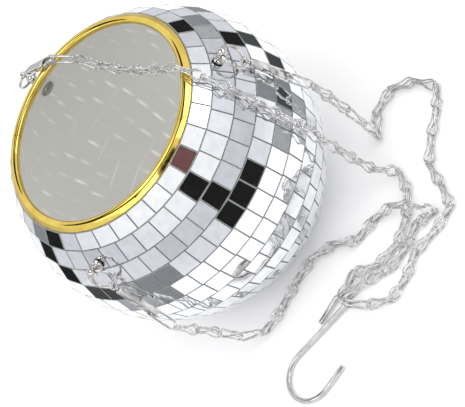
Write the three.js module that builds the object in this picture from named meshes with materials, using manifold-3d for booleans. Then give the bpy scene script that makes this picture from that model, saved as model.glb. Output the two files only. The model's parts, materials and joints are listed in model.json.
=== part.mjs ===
// Hanging mirror ball with an open top: a tiled bowl, a gold edge bead, three ball-headed hanger
// studs with rings and swivel clasps, three wire-link chains and one S-hook.
// Millimetres, +Z up. The origin is the centre of the flat base, on the surface it stands on.
import * as THREE from 'three';
import { mergeVertices } from 'three/addons/utils/BufferGeometryUtils.js';
import Module from 'manifold-3d';

const wasm = await Module();
wasm.setup();

const DEG = Math.PI / 180;
const GAP = 0.3;

// The ball. Polar angles are measured from +Z at the ball's centre.
const BALL_RADIUS = 75;
const TILE_INNER_RADIUS = 74.1;
const ROW_COUNT = 12;
const ROW_PITCH = 8.55;
const FIRST_ROW_POLAR = 46.2;
const TILES_ROUND_EQUATOR = 44;
const TILE_GAP = 0.6;
const ROW_PHASES = [0.95, 0.17, 0.3, 0.93, 0.0, 0.05, 0.65, 0.3, 0.8, 0.25, 0.75, 0.2];
const BASE_POLAR = FIRST_ROW_POLAR + ROW_COUNT * ROW_PITCH;
const CENTRE_HEIGHT = -BALL_RADIUS * Math.cos(BASE_POLAR * DEG);

// The plastic bowl inside the tiles.
const SHELL_OUTER = 73.5;
const SHELL_INNER = 71.5;
const SHELL_EDGE_POLAR = 45.95;
const BASE_THICKNESS = 2.4;

// The edge bead: a U-shaped strip pushed over the bowl's rim. Along the wall u runs up the slope
// from BEAD_POLAR, and v runs outwards from BEAD_RADIUS.
const BEAD_POLAR = 46.2;
const BEAD_RADIUS = 72.5;
const BEAD_OUTER_LEG = { u: -1.7, v: 2.1 };
const BEAD_INNER_LEG = { u: -1.5, v: -2.1 };
const BEAD_CROWN_U = 0.9;
const BEAD_CROWN_RISE = 2.4;
const BEAD_SLOT_V = 1.35;
const BEAD_SLOT_TOP_U = 0.6;

// A hanger stud stands along the ball's radius. Distances are from the ball's centre.
const STUD_HOLE_RADIUS = 1.9;
const COLLAR_BOTTOM = BALL_RADIUS + GAP;
const COLLAR_TOP = COLLAR_BOTTOM + 1.5;
const COLLAR_RADIUS = 3;
const NECK_RADIUS = 1.5;
const HEAD_CENTRE = 80.3;
const HEAD_RADIUS = 2.7;
const CROSS_HOLE_RADIUS = 1.3;
const THREAD_BORE_RADIUS = 1.6;
const THREAD_BORE_TOP = COLLAR_TOP - 0.4;
const SCREW_SHANK_RADIUS = 1.3;
const SCREW_HEAD_RADIUS = 3.9;
const SCREW_HEAD_TOP = SHELL_INNER - 0.5;
const SCREW_HEAD_BOTTOM = SCREW_HEAD_TOP - 1.7;

// The ring hangs in the stud head's cross hole, and the clasp hangs from the ring's far side.
const RING_RADIUS = 6.3;
const RING_WIRE = 0.7;
const RING_CENTRE = 5.9;
const RING_REACH = RING_CENTRE + RING_RADIUS;

// The clasp, along its own -Z from the ring. X is across it, on the gate's side, Y is its thickness.
const EYE_OUTER = 2.2;
const EYE_INNER = 1.2;
const EYE_HALF_WIDTH = 0.7;
const EYE_SHANK_RADIUS = 0.65;
const EYE_SHANK_END = -5;
const EYE_HEAD_RADIUS = 1.1;
const SLEEVE_TOP = -3.2;
const SLEEVE_BORE = 0.95;
const SLEEVE_CAVITY_RADIUS = 1.4;
const SLEEVE_CAVITY_TOP = -4;
const SLEEVE_CAVITY_END = -5.8;
const CLASP_HALF_WIDTH = 2.4;
const CLASP_HALF_THICKNESS = 1.5;
const CLASP_END = -26.4;
const CLASP_BEVEL = 0.35;
const BAR_TOP = -24.3;
const CLAW_SLOT = { left: -1.3, right: 1.25, top: -18.6 };
const TIP_TOP = -22.4;
const CHEEK_SLOT = { left: -0.4, top: -9.6, bottom: -18.6, halfDepth: 1.05 };
const GATE_HALF_THICKNESS = 0.72;
const GATE_PIVOT = { x: 1.45, z: -13 };
const GATE_PIN_RADIUS = 0.45;

// The first link goes round the clasp's bar, and the chain goes on from its far end.
const LINK_WIRE = 0.55;
const LINK_HALF_WIDTH = 2.45;
const LINK_STRAIGHT = 9.6;
const LINK_CENTRE = (BAR_TOP + CLASP_END) / 2;

// Each hanger's azimuth and polar angle, and the way its ring and its clasp point, up being +Z. Two
// hang down the side of the ball. The back ring lies up the slope, its clasp lies over the rim, and
// its link droops.
const HANGERS = [
  { id: 'a', azimuth: -35.5, polar: 58, clasp: [0.174, -0.262, -0.9495], droop: 0 },
  { id: 'b', azimuth: 88.8, polar: 59, clasp: [0.52, -0.82, 0.28], ringLift: 0, droop: -32 },
  { id: 'c', azimuth: 210, polar: 61, clasp: [-0.063, -0.348, -0.936], droop: 0 },
];

// The chains' centre lines, from below each first link to the small loop of the hook.
const CHAIN_DIAMETER = 4.6;
const CHAIN_SIDES = 8;
const CHAIN_STEP = 6.5;
const LYING = 2.65;
const CHAIN_ROUTES = {
  a: [
    [64.3, -52.9, 58.5], [63.7, -53, 40.4], [62.8, -53.1, 24.6], [61.8, -53.4, 11.6],
    [60.9, -51.3, 3.4], [64, -45.5, LYING], [68.4, -42.5, LYING], [74.7, -40, LYING],
    [82.1, -41.1, LYING], [88.5, -45.5, LYING], [92.7, -53.1, LYING], [94.2, -62, LYING],
    [94.7, -69.8, LYING], [89.9, -72.4, LYING], [82.5, -75.9, LYING], [75.9, -78.8, LYING],
    [68.4, -82.7, LYING], [60.8, -88.1, LYING], [56.9, -95.6, LYING], [54.3, -103.6, LYING],
    [51.1, -111.1, LYING], [45.9, -114.4, LYING], [39.6, -113.6, LYING], [33.6, -112.4, LYING],
    [27.9, -112.1, LYING], [22.9, -109.3, LYING], [18.3, -107.1, LYING], [13.8, -109.3, LYING],
    [8.7, -112.4, LYING], [3.9, -114.4, LYING], [-0.7, -112.4, LYING], [-5.1, -108, LYING],
    [-9, -103, LYING], [-11.6, -97.3, LYING], [-13.9, -91.7, LYING],
  ],
  b: [
    [20.5, 30.8, 119.1], [21.9, 23, 117.3], [23.6, 14, 116.1], [26.8, 2, 115.6],
    [31.2, -12, 116.4], [35.4, -25, 119], [38.3, -32.5, 121.1], [39.7, -37, 120.8],
    [40.6, -42, 117], [42.2, -48.2, 109.1], [43.2, -54.4, 99.8], [43.9, -60.2, 87.4],
    [44.4, -63.8, 72.6], [44.6, -64.8, 58], [45, -64.9, 40], [45.3, -64.6, 20],
    [45.9, -64.6, 9.4], [49, -66.6, 3.6], [51, -69.1, LYING], [51.1, -74, LYING],
    [49.8, -79.2, LYING], [47.2, -83.3, LYING], [41.8, -87.5, LYING], [36.3, -90.7, LYING],
    [30.4, -95.4, LYING], [24.6, -97.3, LYING], [19, -95.7, LYING], [13.2, -94.5, LYING],
    [7.4, -91.9, LYING], [3.3, -86.8, LYING], [-0.7, -82, LYING], [-5.5, -80.1, LYING],
    [-9.6, -80.3, LYING],
  ],
  c: [
    [-63.9, -52.8, 55.6], [-61, -52.8, 45.1], [-57.3, -52.9, 34.3], [-55.2, -53, 22.1],
    [-51.5, -53, 11.6], [-47.3, -53, 5.5], [-41, -53.2, LYING], [-30.3, -53.1, LYING],
    [-18.5, -52.4, LYING], [-8.4, -52.4, LYING], [0.5, -56.9, LYING], [7.3, -62.3, LYING],
    [11.5, -69.8, LYING], [15.2, -75.3, LYING], [21.3, -76.9, LYING], [27.7, -75.3, LYING],
    [33.2, -79.8, 3.8], [36.8, -87.5, 7.2], [39.4, -95.3, 7.8], [42.1, -99.6, 5.6],
    [44.6, -103.6, 2.8], [41.4, -106.5, LYING], [37.2, -102.4, LYING], [34.1, -98.9, LYING],
    [31.2, -103.3, LYING], [26.5, -104.3, LYING], [21.1, -102.1, LYING], [15, -102.7, LYING],
    [8.6, -100.2, LYING], [3, -95.4, LYING], [-1.6, -90.7, LYING], [-6.5, -87.2, LYING],
    [-11, -85.6, LYING],
  ],
};

// The S-hook, in the plane of its wire: X runs along the shank from the large loop to the small one.
const HOOK_WIRE = 1.2;
const SHANK_LENGTH = 31.5;
const LARGE_LOOP_RADIUS = 13.5;
const LARGE_TAIL = 12.6;
const LARGE_TURN = 190;
const SMALL_LOOP_RADIUS = 3.7;
const SMALL_TAIL = 13;
const SMALL_TURN = 195;
const HOOK_PLACE = { x: -17, y: -87.3, z: 2.6, heading: -18.7, tilt: -1.65 };

const SILVER = { color: 0xc9cbcd, metalness: 1 };
const materials = {
  shell: new THREE.MeshStandardMaterial({ color: 0xc3c3bc, roughness: 0.35, metalness: 0 }),
  mirror: new THREE.MeshStandardMaterial({ color: 0xe4e8ee, roughness: 0.04, metalness: 1 }),
  gold: new THREE.MeshStandardMaterial({ color: 0xc79a1a, roughness: 0.18, metalness: 1 }),
  nickel: new THREE.MeshStandardMaterial({ ...SILVER, roughness: 0.15 }),
  clasp: new THREE.MeshStandardMaterial({ ...SILVER, roughness: 0.25 }),
  chain: new THREE.MeshStandardMaterial({ ...SILVER, roughness: 0.3 }),
};

// Solids: every piece is made as one closed body, from three.js geometry.

function solidOf(geometry) {
  const bare = geometry.clone();
  bare.deleteAttribute('normal');
  bare.deleteAttribute('uv');
  const merged = mergeVertices(bare, 1e-4);
  const triangles = [];
  const index = merged.index.array;
  for (let i = 0; i < index.length; i += 3) {
    const [a, b, c] = [index[i], index[i + 1], index[i + 2]];
    if (a !== b && b !== c && c !== a) triangles.push(a, b, c);
  }
  const vertProperties = Float32Array.from(merged.attributes.position.array);
  const build = (list) => new wasm.Manifold(
    new wasm.Mesh({ numProp: 3, vertProperties, triVerts: Uint32Array.from(list) }),
  );
  const body = build(triangles);
  return body.volume() > 0 ? body : build(triangles.toReversed());
}

function geometryOf(body) {
  const mesh = body.getMesh();
  const geometry = new THREE.BufferGeometry();
  geometry.setAttribute('position', new THREE.Float32BufferAttribute(mesh.vertProperties, 3));
  geometry.setIndex(new THREE.BufferAttribute(mesh.triVerts, 1));
  geometry.computeVertexNormals();
  return geometry;
}

function piece(name, body, material) {
  const mesh = new THREE.Mesh(geometryOf(body), material);
  mesh.name = name;
  return mesh;
}

// A turned solid about Z, from [radius, height] points.
function turned(profile, segments, start = 0) {
  const points = profile.map(([radius, height]) => new THREE.Vector2(radius, height));
  const geometry = new THREE.LatheGeometry(points, segments, start);
  return solidOf(geometry.rotateX(Math.PI / 2));
}

function rod(radius, low, high, sides = 14) {
  const geometry = new THREE.CylinderGeometry(radius, radius, high - low, sides);
  return solidOf(geometry.rotateX(Math.PI / 2).translate(0, 0, (low + high) / 2));
}

function block(low, high) {
  const size = low.map((value, axis) => high[axis] - value);
  const middle = low.map((value, axis) => (high[axis] + value) / 2);
  return solidOf(new THREE.BoxGeometry(...size).translate(...middle));
}

// A plate with its outline in X and Z, centred on Y.
function plate(outline, halfThickness, bevel) {
  const shape = new THREE.Shape(outline.map(([x, z]) => new THREE.Vector2(x, z)));
  const geometry = new THREE.ExtrudeGeometry(shape, {
    depth: 2 * (halfThickness - bevel),
    bevelEnabled: bevel > 0,
    bevelThickness: bevel,
    bevelSize: bevel,
    bevelOffset: -bevel,
    bevelSegments: 1,
  });
  return solidOf(geometry.translate(0, 0, bevel - halfThickness).rotateX(Math.PI / 2));
}

function wireAlong(curve, radius, sides, steps) {
  const section = new THREE.Shape();
  section.absarc(0, 0, radius, 0, 2 * Math.PI);
  const geometry = new THREE.ExtrudeGeometry(section, {
    steps,
    curveSegments: sides / 2,
    extrudePath: curve,
    bevelEnabled: false,
  });
  return solidOf(geometry);
}

function arc(centreX, centreY, radius, from, to, count) {
  return Array.from({ length: count + 1 }, (_, i) => {
    const angle = (from + ((to - from) * i) / count) * DEG;
    return [centreX + radius * Math.cos(angle), centreY + radius * Math.sin(angle)];
  });
}

function onSphere(radius, polar) {
  return [radius * Math.sin(polar * DEG), radius * Math.cos(polar * DEG)];
}

function sphereArc(radius, from, to, count) {
  return Array.from({ length: count + 1 }, (_, i) => onSphere(radius, from + ((to - from) * i) / count));
}

// A group with the given origin, X axis and Z axis.
function frameAt(origin, xAxis, zAxis) {
  const group = new THREE.Group();
  group.position.copy(origin);
  const yAxis = zAxis.clone().cross(xAxis);
  group.quaternion.setFromRotationMatrix(new THREE.Matrix4().makeBasis(xAxis, yAxis, zAxis));
  return group;
}

// The ball.

function studAxis({ azimuth, polar }) {
  return new THREE.Vector3().setFromSphericalCoords(1, polar * DEG, 0)
    .applyAxisAngle(new THREE.Vector3(1, 0, 0), Math.PI / 2)
    .applyAxisAngle(new THREE.Vector3(0, 0, 1), (azimuth + 90) * DEG);
}

function studHoles() {
  const holes = HANGERS.map((place) => {
    const hole = new THREE.CylinderGeometry(STUD_HOLE_RADIUS, STUD_HOLE_RADIUS, 12, 14);
    const turn = new THREE.Quaternion();
    turn.setFromUnitVectors(new THREE.Vector3(0, 1, 0), studAxis(place));
    hole.applyQuaternion(turn);
    const middle = studAxis(place).multiplyScalar(SHELL_OUTER);
    return solidOf(hole.translate(middle.x, middle.y, middle.z));
  });
  return holes.reduce((all, hole) => all.add(hole));
}

function shell() {
  const base = -CENTRE_HEIGHT;
  const outerEnd = 180 - Math.acos(CENTRE_HEIGHT / SHELL_OUTER) / DEG;
  const innerEnd = 180 - Math.acos((CENTRE_HEIGHT - BASE_THICKNESS) / SHELL_INNER) / DEG;
  const profile = [
    [0, base],
    ...sphereArc(SHELL_OUTER, outerEnd, SHELL_EDGE_POLAR, 14),
    ...sphereArc(SHELL_INNER, SHELL_EDGE_POLAR, innerEnd, 14),
    [0, base + BASE_THICKNESS],
  ];
  return turned(profile, 48).subtract(studHoles());
}

function rowCount(row) {
  const middle = FIRST_ROW_POLAR + (row + 0.5) * ROW_PITCH;
  return Math.round(TILES_ROUND_EQUATOR * Math.sin(middle * DEG));
}

// One row of mirror tiles as a faceted ring, one facet to a tile.
function mirrorRow(row) {
  const halfGap = TILE_GAP / 2 / BALL_RADIUS / DEG;
  const beadEdge = 47.8;
  const top = row === 0 ? beadEdge : FIRST_ROW_POLAR + row * ROW_PITCH + halfGap;
  const bottom = FIRST_ROW_POLAR + (row + 1) * ROW_PITCH - halfGap;
  const profile = [
    onSphere(BALL_RADIUS, top),
    onSphere(TILE_INNER_RADIUS, top),
    onSphere(TILE_INNER_RADIUS, bottom),
    onSphere(BALL_RADIUS, bottom),
    onSphere(BALL_RADIUS, top),
  ];
  const tiles = rowCount(row);
  const ring = turned(profile, tiles, (ROW_PHASES[row] * 2 * Math.PI) / tiles);
  return row === 1 ? ring.subtract(studHoles()) : ring;
}

function rimBead() {
  const crownV = (BEAD_OUTER_LEG.v + BEAD_INNER_LEG.v) / 2;
  const crownHalf = (BEAD_OUTER_LEG.v - BEAD_INNER_LEG.v) / 2;
  const crown = arc(0, 0, 1, 0, 180, 12).map(([x, y]) => [
    BEAD_CROWN_U + y * BEAD_CROWN_RISE,
    crownV + x * crownHalf,
  ]);
  const outline = [
    [BEAD_OUTER_LEG.u, BEAD_OUTER_LEG.v - 0.3],
    [BEAD_OUTER_LEG.u + 0.4, BEAD_OUTER_LEG.v],
    ...crown,
    [BEAD_INNER_LEG.u, BEAD_INNER_LEG.v],
    [BEAD_INNER_LEG.u, -BEAD_SLOT_V],
    [BEAD_SLOT_TOP_U, -BEAD_SLOT_V],
    [BEAD_SLOT_TOP_U, BEAD_SLOT_V],
    [BEAD_OUTER_LEG.u, BEAD_SLOT_V],
  ];
  const profile = outline.map(([u, v]) => {
    const [radius, height] = onSphere(BEAD_RADIUS + v, BEAD_POLAR);
    return [radius - u * Math.cos(BEAD_POLAR * DEG), height + u * Math.sin(BEAD_POLAR * DEG)];
  });
  return turned([...profile, profile[0]], 60);
}

// The hangers, each in a frame with +Z along the stud.

function ballStud() {
  const profile = [
    [0, COLLAR_BOTTOM],
    [COLLAR_RADIUS, COLLAR_BOTTOM],
    [COLLAR_RADIUS, COLLAR_TOP - 0.7],
    [COLLAR_RADIUS - 0.8, COLLAR_TOP],
    [NECK_RADIUS, COLLAR_TOP],
    ...arc(0, HEAD_CENTRE, HEAD_RADIUS, -56, 90, 9),
  ];
  profile[profile.length - 1][0] = 0;
  const bore = rod(THREAD_BORE_RADIUS, COLLAR_BOTTOM - 1, THREAD_BORE_TOP, 12);
  const cross = new THREE.CylinderGeometry(CROSS_HOLE_RADIUS, CROSS_HOLE_RADIUS, 9, 14);
  const crossHole = solidOf(cross.rotateZ(Math.PI / 2).translate(0, 0, HEAD_CENTRE));
  return turned(profile, 20).subtract(bore).subtract(crossHole);
}

function innerScrew() {
  return turned([
    [0, SCREW_HEAD_BOTTOM],
    [SCREW_HEAD_RADIUS - 0.8, SCREW_HEAD_BOTTOM],
    [SCREW_HEAD_RADIUS, SCREW_HEAD_BOTTOM + 0.9],
    [SCREW_HEAD_RADIUS, SCREW_HEAD_TOP],
    [SCREW_SHANK_RADIUS, SCREW_HEAD_TOP],
    [SCREW_SHANK_RADIUS, THREAD_BORE_TOP - GAP],
    [0, THREAD_BORE_TOP - GAP],
  ], 18);
}

function hangerRing() {
  const ring = new THREE.TorusGeometry(RING_RADIUS, RING_WIRE, 10, 36);
  return solidOf(ring.rotateX(Math.PI / 2).translate(0, 0, -RING_CENTRE));
}

function swivelEye() {
  const chamfer = 0.3;
  const lug = turned([
    [EYE_INNER + chamfer, -EYE_HALF_WIDTH],
    [EYE_OUTER - chamfer, -EYE_HALF_WIDTH],
    [EYE_OUTER, -EYE_HALF_WIDTH + chamfer],
    [EYE_OUTER, EYE_HALF_WIDTH - chamfer],
    [EYE_OUTER - chamfer, EYE_HALF_WIDTH],
    [EYE_INNER + chamfer, EYE_HALF_WIDTH],
    [EYE_INNER, EYE_HALF_WIDTH - chamfer],
    [EYE_INNER, -EYE_HALF_WIDTH + chamfer],
    [EYE_INNER + chamfer, -EYE_HALF_WIDTH],
  ], 18).rotate([0, 90, 0]);
  const shank = rod(EYE_SHANK_RADIUS, EYE_SHANK_END, -EYE_OUTER + 0.5, 12);
  const head = rod(EYE_HEAD_RADIUS, EYE_SHANK_END - 0.5, EYE_SHANK_END + 0.2, 12);
  return lug.add(shank).add(head);
}

function claspBody() {
  const outline = [
    [-1.5, SLEEVE_TOP],
    [1.5, SLEEVE_TOP],
    [1.6, -6.2],
    [1.75, -13.6],
    [CLASP_HALF_WIDTH, -14.6],
    [CLASP_HALF_WIDTH, CLASP_END + 1.6],
    [CLASP_HALF_WIDTH - 0.5, CLASP_END + 0.5],
    [CLASP_HALF_WIDTH - 1.5, CLASP_END],
    [1.5 - CLASP_HALF_WIDTH, CLASP_END],
    [0.5 - CLASP_HALF_WIDTH, CLASP_END + 0.5],
    [-CLASP_HALF_WIDTH, CLASP_END + 1.6],
    [-CLASP_HALF_WIDTH, -9],
    [-1.9, -6.6],
  ];
  const depth = CLASP_HALF_THICKNESS + 1;
  const width = CLASP_HALF_WIDTH + 1;
  const cheeks = block(
    [CHEEK_SLOT.left, -CHEEK_SLOT.halfDepth, CHEEK_SLOT.bottom],
    [width, CHEEK_SLOT.halfDepth, CHEEK_SLOT.top],
  );
  const pinHole = new THREE.CylinderGeometry(GATE_PIN_RADIUS + 0.1, GATE_PIN_RADIUS + 0.1, 6, 12);
  return plate(outline, CLASP_HALF_THICKNESS, CLASP_BEVEL)
    .subtract(rod(SLEEVE_BORE, SLEEVE_CAVITY_END, SLEEVE_TOP + 1, 12))
    .subtract(rod(SLEEVE_CAVITY_RADIUS, SLEEVE_CAVITY_END, SLEEVE_CAVITY_TOP, 12)
      .intersect(block([-3, -1.1, -8], [3, 1.1, 0])))
    .subtract(block([CLAW_SLOT.left, -depth, BAR_TOP], [CLAW_SLOT.right, depth, CLAW_SLOT.top]))
    .subtract(block([CLAW_SLOT.right - 0.1, -depth, TIP_TOP], [width, depth, CLAW_SLOT.top]))
    .subtract(cheeks)
    .subtract(solidOf(pinHole.translate(GATE_PIVOT.x - 0.15, 0, GATE_PIVOT.z)));
}

function claspGate() {
  const inner = CLAW_SLOT.right;
  const outline = [
    [0.6, GATE_PIVOT.z + 0.7],
    [0.9, GATE_PIVOT.z + 2.6],
    [2.1, GATE_PIVOT.z + 3],
    [2.4, GATE_PIVOT.z + 1.6],
    [1.9, GATE_PIVOT.z + 0.6],
    [1.9, GATE_PIVOT.z - 1.4],
    [CLASP_HALF_WIDTH, GATE_PIVOT.z - 2.2],
    [CLASP_HALF_WIDTH, TIP_TOP + GAP],
    [inner, TIP_TOP + GAP],
    [inner, GATE_PIVOT.z - 5],
    [0.6, GATE_PIVOT.z - 1.2],
  ];
  const hole = new THREE.CylinderGeometry(GATE_PIN_RADIUS + 0.1, GATE_PIN_RADIUS + 0.1, 6, 12);
  return plate(outline, GATE_HALF_THICKNESS, 0)
    .subtract(solidOf(hole.translate(GATE_PIVOT.x - 0.15, 0, GATE_PIVOT.z)));
}

function gatePin() {
  const pin = new THREE.CylinderGeometry(GATE_PIN_RADIUS, GATE_PIN_RADIUS, 2 * CLASP_HALF_THICKNESS, 12);
  return solidOf(pin.translate(GATE_PIVOT.x - 0.15, 0, GATE_PIVOT.z));
}

// A torus pulled apart across its middle, so its sides are straight.
function firstLink() {
  const segments = 24;
  const loop = new THREE.TorusGeometry(LINK_HALF_WIDTH, LINK_WIRE, 8, segments);
  loop.rotateZ(Math.PI / segments);
  const points = loop.attributes.position;
  for (let i = 0; i < points.count; i += 1) {
    if (points.getY(i) < 0) points.setY(i, points.getY(i) - LINK_STRAIGHT);
  }
  return solidOf(loop.rotateX(Math.PI / 2).rotateZ(Math.PI / 2));
}

function hanger({ id, azimuth, polar, clasp, ringLift, droop }) {
  const outwards = studAxis({ azimuth, polar });
  const claspWay = new THREE.Vector3(...clasp).normalize();
  const level = new THREE.Vector3(-Math.sin(azimuth * DEG), Math.cos(azimuth * DEG), 0);
  const upSlope = outwards.clone().cross(level);
  let hole = level;
  let ringWay = claspWay;
  if (ringLift === undefined) {
    hole = claspWay.clone().cross(outwards).normalize();
  } else {
    ringWay = upSlope.multiplyScalar(Math.cos(ringLift * DEG));
    ringWay.addScaledVector(outwards, Math.sin(ringLift * DEG));
  }
  const group = new THREE.Group();
  const head = outwards.clone().multiplyScalar(HEAD_CENTRE);
  const stud = frameAt(new THREE.Vector3(), hole, outwards);
  stud.add(piece(`ball_stud_${id}`, ballStud(), materials.nickel));
  stud.add(piece(`inner_screw_${id}`, innerScrew(), materials.nickel));
  const ring = frameAt(head, hole, ringWay.clone().negate());
  ring.add(piece(`hanger_ring_${id}`, hangerRing(), materials.nickel));
  const far = head.addScaledVector(ringWay, RING_REACH);
  const across = hole.clone().addScaledVector(claspWay, -hole.dot(claspWay)).normalize();
  const hanging = frameAt(far, across, claspWay.clone().negate());
  hanging.add(piece(`swivel_eye_${id}`, swivelEye(), materials.clasp));
  hanging.add(piece(`clasp_body_${id}`, claspBody(), materials.clasp));
  hanging.add(piece(`clasp_gate_${id}`, claspGate(), materials.clasp));
  hanging.add(piece(`gate_pin_${id}`, gatePin(), materials.clasp));
  const link = piece(`first_link_${id}`, firstLink(), materials.chain);
  link.position.z = LINK_CENTRE;
  link.rotation.x = droop * DEG;
  hanging.add(link);
  group.add(stud, ring, hanging);
  return group;
}

// The chains and the hook, as they lie.

function chain(route) {
  const curve = new THREE.CatmullRomCurve3(route.map((point) => new THREE.Vector3(...point)));
  const steps = Math.round(curve.getLength() / CHAIN_STEP);
  return wireAlong(curve, CHAIN_DIAMETER / 2, CHAIN_SIDES, steps);
}

function sHook() {
  const smallEnd = SMALL_TURN - 90;
  const smallArc = arc(0, SMALL_LOOP_RADIUS, SMALL_LOOP_RADIUS, smallEnd, -90, 14);
  const largeArc = arc(-SHANK_LENGTH, -LARGE_LOOP_RADIUS, LARGE_LOOP_RADIUS, 90, 90 + LARGE_TURN, 22);
  const [smallX, smallY] = smallArc[0];
  const [largeX, largeY] = largeArc[largeArc.length - 1];
  const smallWay = (smallEnd + 90) * DEG;
  const largeWay = (180 + LARGE_TURN) * DEG;
  const outline = [
    [smallX + SMALL_TAIL * Math.cos(smallWay), smallY + SMALL_TAIL * Math.sin(smallWay)],
    ...smallArc,
    ...largeArc,
    [largeX + LARGE_TAIL * Math.cos(largeWay), largeY + LARGE_TAIL * Math.sin(largeWay)],
  ];
  const path = new THREE.CurvePath();
  for (let i = 1; i < outline.length; i += 1) {
    const from = new THREE.Vector3(...outline[i - 1], 0);
    path.add(new THREE.LineCurve3(from, new THREE.Vector3(...outline[i], 0)));
  }
  return wireAlong(path, HOOK_WIRE, 10, 70);
}

const ball = new THREE.Group();
ball.position.z = CENTRE_HEIGHT;
ball.add(piece('inner_bowl', shell(), materials.shell));
ball.add(piece('rim_bead', rimBead(), materials.gold));
for (let row = 0; row < ROW_COUNT; row += 1) {
  const name = `mirror_row_${String(row + 1).padStart(2, '0')}`;
  ball.add(piece(name, mirrorRow(row), materials.mirror));
}
for (const each of HANGERS) ball.add(hanger(each));

const hook = piece('s_hook', sHook(), materials.nickel);
hook.position.set(HOOK_PLACE.x, HOOK_PLACE.y, HOOK_PLACE.z);
hook.rotation.set(0, HOOK_PLACE.tilt * DEG, HOOK_PLACE.heading * DEG, 'ZYX');

const object = new THREE.Group();
object.add(ball, hook);
for (const [id, route] of Object.entries(CHAIN_ROUTES)) {
  object.add(piece(`chain_${id}`, chain(route), materials.chain));
}

export default object;
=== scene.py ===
"""The look of the mirror ball bowl, its hangers, chains and hook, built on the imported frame. Metres."""
import json
import math
import random

import bmesh
import bpy
from mathutils import Matrix, Vector


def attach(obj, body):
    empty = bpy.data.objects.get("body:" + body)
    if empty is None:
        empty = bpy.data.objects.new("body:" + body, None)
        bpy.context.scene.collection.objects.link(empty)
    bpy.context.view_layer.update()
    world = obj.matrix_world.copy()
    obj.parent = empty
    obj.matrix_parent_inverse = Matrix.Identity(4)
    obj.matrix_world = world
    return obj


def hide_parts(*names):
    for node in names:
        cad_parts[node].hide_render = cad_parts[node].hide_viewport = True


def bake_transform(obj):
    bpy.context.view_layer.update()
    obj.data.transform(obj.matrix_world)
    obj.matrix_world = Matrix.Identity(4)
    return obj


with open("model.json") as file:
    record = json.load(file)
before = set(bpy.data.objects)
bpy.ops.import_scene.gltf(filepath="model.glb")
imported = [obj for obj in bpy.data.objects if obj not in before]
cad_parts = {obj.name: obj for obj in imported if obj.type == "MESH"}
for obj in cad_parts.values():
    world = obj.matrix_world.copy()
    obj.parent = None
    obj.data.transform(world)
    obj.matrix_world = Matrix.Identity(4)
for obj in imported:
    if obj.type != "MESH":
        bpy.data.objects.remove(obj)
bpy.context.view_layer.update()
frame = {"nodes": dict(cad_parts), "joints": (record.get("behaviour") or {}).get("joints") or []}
JOINTS = {joint["name"]: joint for joint in frame["joints"]}

# The ball, as in the frame. Polar angles are measured from +Z at the ball's centre.
BALL_RADIUS = 0.075
TILE_INNER_RADIUS = 0.0741
ROW_COUNT = 12
ROW_PITCH = math.radians(8.55)
FIRST_ROW_POLAR = math.radians(46.2)
BEAD_EDGE_POLAR = math.radians(47.8)
TILES_ROUND_EQUATOR = 44
TILE_GAP = 0.0005
TILE_CHAMFER = 0.00016
TILE_TILT = math.radians(0.35)
ROW_PHASES = [0.95, 0.17, 0.3, 0.93, 0.0, 0.05, 0.65, 0.3, 0.8, 0.25, 0.75, 0.2]
CENTRE_HEIGHT = -BALL_RADIUS * math.cos(FIRST_ROW_POLAR + ROW_COUNT * ROW_PITCH)
CENTRE = Vector((0, 0, CENTRE_HEIGHT))
SHELL_OUTER = 0.0735
SHELL_INNER = 0.0715
SHELL_EDGE_POLAR = math.radians(45.95)
BASE_THICKNESS = 0.0024

# The edge bead, along the wall (u, up the slope) and out from it (v).
BEAD_POLAR = math.radians(46.2)
BEAD_RADIUS = 0.0725
BEAD_OUTER_V = 0.0021
BEAD_INNER_V = -0.0021
BEAD_LEG_U = -0.0016
BEAD_CROWN_U = 0.0009
BEAD_CROWN_RISE = 0.0024
BEAD_JOINT_AZIMUTH = math.radians(120)
BEAD_JOINT_GAP = 0.00025
BEAD_JOINT_RADIUS = 0.0525

# The hangers.
COLLAR_BOTTOM = BALL_RADIUS + 0.0003
COLLAR_TOP = COLLAR_BOTTOM + 0.0015
COLLAR_RADIUS = 0.003
NECK_RADIUS = 0.0015
HEAD_CENTRE = 0.0803
HEAD_RADIUS = 0.0027
CROSS_HOLE_RADIUS = 0.0013
SCREW_HEAD_RADIUS = 0.0039
SCREW_HEAD_TOP = SHELL_INNER - 0.0005
SCREW_HEAD_BOTTOM = SCREW_HEAD_TOP - 0.0017
SCREW_END = COLLAR_TOP - 0.0007
RING_RADIUS = 0.0063
RING_WIRE = 0.0007
RING_CENTRE = 0.0059
EYE_RADIUS = 0.0017
EYE_WIRE = 0.0005
EYE_SHANK_RADIUS = 0.00065
EYE_SHANK_END = -0.005
LINK_WIRE = 0.00055
LINK_HALF_WIDTH = 0.00245
LINK_STRAIGHT = 0.0096
LINK_CENTRE = -0.02535
LINK_DROOP = {"a": 0.0, "b": math.radians(-32), "c": 0.0}

# A chain link is a long wire loop pinched at its waist and folded in two there. Both its end loops
# hang on the fold of the next link.
CHAIN_PITCH = 0.014
CHAIN_WIRE = 0.00044
FOLD_HALF_HEIGHT = 0.0018
END_HALF_HEIGHT = 0.0008
WAIST_HALF_WIDTH = 0.00053
LOOP_HALF_WIDTH = 0.00235
FOLD_GRIP = 0.001
SETTLING_LINKS = 4

# The S-hook, in the plane of its wire: X runs along the shank from the large loop to the small one.
HOOK_WIRE = 0.0012
SHANK_LENGTH = 0.0315
LARGE_LOOP_RADIUS = 0.0135
LARGE_TAIL = 0.0126
LARGE_TURN = math.radians(190)
SMALL_LOOP_RADIUS = 0.0037
SMALL_TAIL = 0.013
SMALL_TURN = math.radians(195)
HOOK_PLACE = Vector((-0.017, -0.0873, 0.0026))
HOOK_HEADING = math.radians(-18.7)
HOOK_TILT = math.radians(-1.65)

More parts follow.
